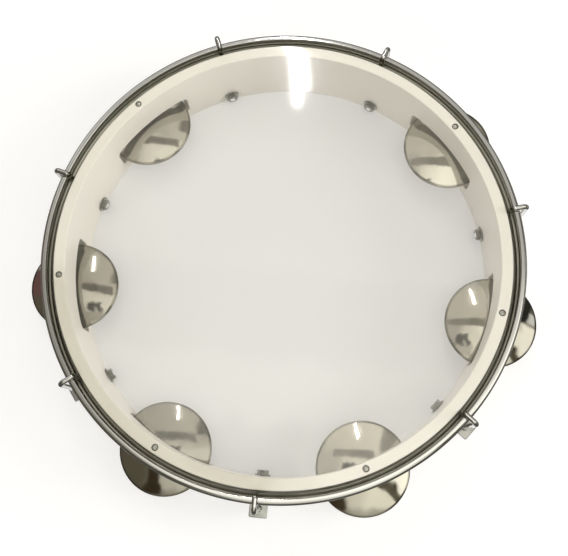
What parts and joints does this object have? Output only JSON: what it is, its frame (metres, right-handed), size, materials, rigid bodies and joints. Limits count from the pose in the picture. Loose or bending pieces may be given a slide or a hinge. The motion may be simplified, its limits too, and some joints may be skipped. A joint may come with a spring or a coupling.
{
  "type": "pandeiro",
  "caption": "Hand-held frame drum: clear film head held by a plated hoop with hooks on a plain moulded ring, with pairs of domed jingles on upright pins in slots.",
  "frame": {"origin": "centre of the playing face, on the film's upper side", "axes": "+Z out of the head, +Y through the middle of the bay without jingles, where the hand holds the frame; the drum rests on the shell's lower edge at Z -52.7 mm"},
  "size_m": [0.3518, 0.33, 0.0575],
  "materials": {
    "shell_plastic": "satin ivory moulding",
    "clear_film": "clear glossy film",
    "flesh_metal": "dull channel ring",
    "plated_steel": "bright plated steel",
    "zinc_plate": "zinc plated, slightly dull",
    "pin_steel": "plain drawn wire",
    "jingle_metal": "polished nickel tone"
  },
  "bodies": {
    "frame": {"shell": "shell_plastic", "head_film": "clear_film", "flesh_hoop": "flesh_metal", "tension_hoop": "plated_steel", "hook_1": "plated_steel", "bracket_1": "zinc_plate", "tension_nut_1": "zinc_plate", "bracket_screw_1": "plated_steel", "bracket_nut_1": "zinc_plate", "hook_2": "plated_steel", "bracket_2": "zinc_plate", "tension_nut_2": "zinc_plate", "bracket_screw_2": "plated_steel", "bracket_nut_2": "zinc_plate", "hook_3": "plated_steel", "bracket_3": "zinc_plate", "tension_nut_3": "zinc_plate", "bracket_screw_3": "plated_steel", "bracket_nut_3": "zinc_plate", "hook_4": "plated_steel", "bracket_4": "zinc_plate", "tension_nut_4": "zinc_plate", "bracket_screw_4": "plated_steel", "bracket_nut_4": "zinc_plate", "hook_5": "plated_steel", "bracket_5": "zinc_plate", "tension_nut_5": "zinc_plate", "bracket_screw_5": "plated_steel", "bracket_nut_5": "zinc_plate", "hook_6": "plated_steel", "bracket_6": "zinc_plate", "tension_nut_6": "zinc_plate", "bracket_screw_6": "plated_steel", "bracket_nut_6": "zinc_plate", "hook_7": "plated_steel", "bracket_7": "zinc_plate", "tension_nut_7": "zinc_plate", "bracket_screw_7": "plated_steel", "bracket_nut_7": "zinc_plate"},
    "jingle_pin_1": {"pin_1": "pin_steel"},
    "low_jingle_1": {"cup_low_1": "jingle_metal"},
    "top_jingle_1": {"cup_top_1": "jingle_metal"},
    "jingle_pin_2": {"pin_2": "pin_steel"},
    "low_jingle_2": {"cup_low_2": "jingle_metal"},
    "top_jingle_2": {"cup_top_2": "jingle_metal"},
    "jingle_pin_3": {"pin_3": "pin_steel"},
    "low_jingle_3": {"cup_low_3": "jingle_metal"},
    "top_jingle_3": {"cup_top_3": "jingle_metal"},
    "jingle_pin_4": {"pin_4": "pin_steel"},
    "low_jingle_4": {"cup_low_4": "jingle_metal"},
    "top_jingle_4": {"cup_top_4": "jingle_metal"},
    "jingle_pin_5": {"pin_5": "pin_steel"},
    "low_jingle_5": {"cup_low_5": "jingle_metal"},
    "top_jingle_5": {"cup_top_5": "jingle_metal"},
    "jingle_pin_6": {"pin_6": "pin_steel"},
    "low_jingle_6": {"cup_low_6": "jingle_metal"},
    "top_jingle_6": {"cup_top_6": "jingle_metal"}
  },
  "joints": [
    {"name": "jingle_spin_1", "type": "hinge", "parent": "frame", "child": "jingle_pin_1", "pos_m": [-0.10969, 0.09876, -0.035], "axis": [0, 0, 1], "continuous": true},
    {"name": "low_jingle_slide_1", "type": "slide", "parent": "jingle_pin_1", "child": "low_jingle_1", "axis": [0, 0, 1], "range_m": [0, 0.0014]},
    {"name": "top_jingle_slide_1", "type": "slide", "parent": "low_jingle_1", "child": "top_jingle_1", "axis": [0, 0, 1], "range_m": [0, 0.0014]},
    {"name": "jingle_spin_2", "type": "hinge", "parent": "frame", "child": "jingle_pin_2", "pos_m": [-0.14499, -0.02766, -0.035], "axis": [0, 0, 1], "continuous": true},
    {"name": "low_jingle_slide_2", "type": "slide", "parent": "jingle_pin_2", "child": "low_jingle_2", "axis": [0, 0, 1], "range_m": [0, 0.0014]},
    {"name": "top_jingle_slide_2", "type": "slide", "parent": "low_jingle_2", "child": "top_jingle_2", "axis": [0, 0, 1], "range_m": [0, 0.0014]},
    {"name": "jingle_spin_3", "type": "hinge", "parent": "frame", "child": "jingle_pin_3", "pos_m": [-0.06563, -0.13221, -0.035], "axis": [0, 0, 1], "continuous": true},
    {"name": "low_jingle_slide_3", "type": "slide", "parent": "jingle_pin_3", "child": "low_jingle_3", "axis": [0, 0, 1], "range_m": [0, 0.0014]},
    {"name": "top_jingle_slide_3", "type": "slide", "parent": "low_jingle_3", "child": "top_jingle_3", "axis": [0, 0, 1], "range_m": [0, 0.0014]},
    {"name": "jingle_spin_4", "type": "hinge", "parent": "frame", "child": "jingle_pin_4", "pos_m": [0.06563, -0.13221, -0.035], "axis": [0, 0, 1], "continuous": true},
    {"name": "low_jingle_slide_4", "type": "slide", "parent": "jingle_pin_4", "child": "low_jingle_4", "axis": [0, 0, 1], "range_m": [0, 0.0014]},
    {"name": "top_jingle_slide_4", "type": "slide", "parent": "low_jingle_4", "child": "top_jingle_4", "axis": [0, 0, 1], "range_m": [0, 0.0014]},
    {"name": "jingle_spin_5", "type": "hinge", "parent": "frame", "child": "jingle_pin_5", "pos_m": [0.14499, -0.02766, -0.035], "axis": [0, 0, 1], "continuous": true},
    {"name": "low_jingle_slide_5", "type": "slide", "parent": "jingle_pin_5", "child": "low_jingle_5", "axis": [0, 0, 1], "range_m": [0, 0.0014]},
    {"name": "top_jingle_slide_5", "type": "slide", "parent": "low_jingle_5", "child": "top_jingle_5", "axis": [0, 0, 1], "range_m": [0, 0.0014]},
    {"name": "jingle_spin_6", "type": "hinge", "parent": "frame", "child": "jingle_pin_6", "pos_m": [0.10969, 0.09876, -0.035], "axis": [0, 0, 1], "continuous": true},
    {"name": "low_jingle_slide_6", "type": "slide", "parent": "jingle_pin_6", "child": "low_jingle_6", "axis": [0, 0, 1], "range_m": [0, 0.0014]},
    {"name": "top_jingle_slide_6", "type": "slide", "parent": "low_jingle_6", "child": "top_jingle_6", "axis": [0, 0, 1], "range_m": [0, 0.0014]}
  ]
}
